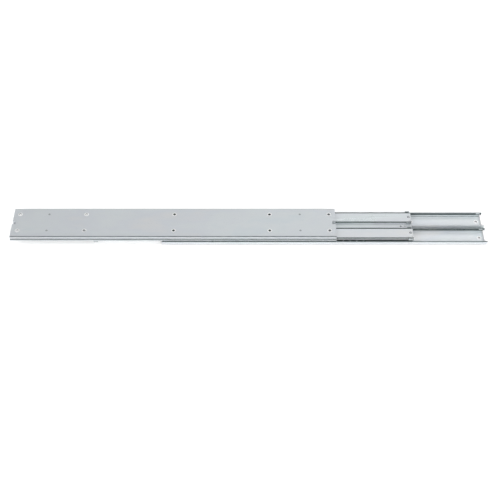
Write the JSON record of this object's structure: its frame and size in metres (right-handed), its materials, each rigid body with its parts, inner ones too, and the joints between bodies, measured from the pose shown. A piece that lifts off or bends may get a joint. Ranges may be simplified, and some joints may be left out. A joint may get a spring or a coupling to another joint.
{
  "type": "cabinet drawer slide",
  "caption": "Three-member full-extension ball-bearing drawer slide with twin tracks on each side of a flat web, shown part extended, with screw holes in both outer members.",
  "frame": {"origin": "centre of the cabinet member's flat mounting face", "axes": "+X along the slide towards the back of the cabinet, +Y across the height of the members, +Z from the cabinet face towards the drawer face"},
  "size_m": [1.025, 0.088, 0.0254],
  "materials": {
    "member_steel": "bright zinc plated cold-rolled steel sheet, 1.8 mm",
    "rail_steel": "bright zinc plated cold-rolled steel sheet, 1.8 mm",
    "intermediate_steel": "bright zinc plated cold-rolled steel sheet, 1.2 and 1.5 mm",
    "stop_steel": "zinc plated pressed steel",
    "rivet_steel": "bright plated steel rivets",
    "cage_steel": "thin strip steel with a film of grease",
    "ball_steel": "polished hardened steel",
    "nylon": "natural white nylon"
  },
  "bodies": {
    "cabinet": {"cabinet_member": "member_steel", "cabinet_center_rail": "rail_steel", "cabinet_bumpers": "nylon"},
    "intermediate": {"intermediate_web": "intermediate_steel", "cabinet_side_channel_top": "intermediate_steel", "cabinet_side_channel_bottom": "intermediate_steel", "drawer_side_channel_top": "intermediate_steel", "drawer_side_channel_bottom": "intermediate_steel", "front_end_stops": "stop_steel", "rear_end_stops": "stop_steel", "end_stop_rivets": "rivet_steel"},
    "drawer": {"drawer_member": "member_steel", "drawer_center_rail": "rail_steel", "drawer_bumpers": "nylon"},
    "cabinet_cages": {"cabinet_cage_top": "cage_steel", "cabinet_cage_bottom": "cage_steel", "cabinet_balls_top_outer": "ball_steel", "cabinet_balls_top_inner": "ball_steel", "cabinet_balls_bottom_outer": "ball_steel", "cabinet_balls_bottom_inner": "ball_steel"},
    "drawer_cages": {"drawer_cage_top": "cage_steel", "drawer_cage_bottom": "cage_steel", "drawer_balls_top_outer": "ball_steel", "drawer_balls_top_inner": "ball_steel", "drawer_balls_bottom_outer": "ball_steel", "drawer_balls_bottom_inner": "ball_steel"}
  },
  "joints": [
    {"name": "intermediate_slide", "type": "slide", "parent": "cabinet", "child": "intermediate", "axis": [-1, 0, 0], "range_m": [-0.154, 0.181]},
    {"name": "drawer_slide", "type": "slide", "parent": "intermediate", "child": "drawer", "axis": [-1, 0, 0], "range_m": [-0.171, 0.164]},
    {"name": "cabinet_cage_roll", "type": "slide", "parent": "cabinet", "child": "cabinet_cages", "axis": [-1, 0, 0], "range_m": [-0.077, 0.0905]},
    {"name": "drawer_cage_roll", "type": "slide", "parent": "intermediate", "child": "drawer_cages", "axis": [-1, 0, 0], "range_m": [-0.0855, 0.082]}
  ],
  "couplings": [
    {"joint": "cabinet_cage_roll", "follows": "intermediate_slide", "ratio": 0.5},
    {"joint": "drawer_cage_roll", "follows": "drawer_slide", "ratio": 0.5}
  ]
}
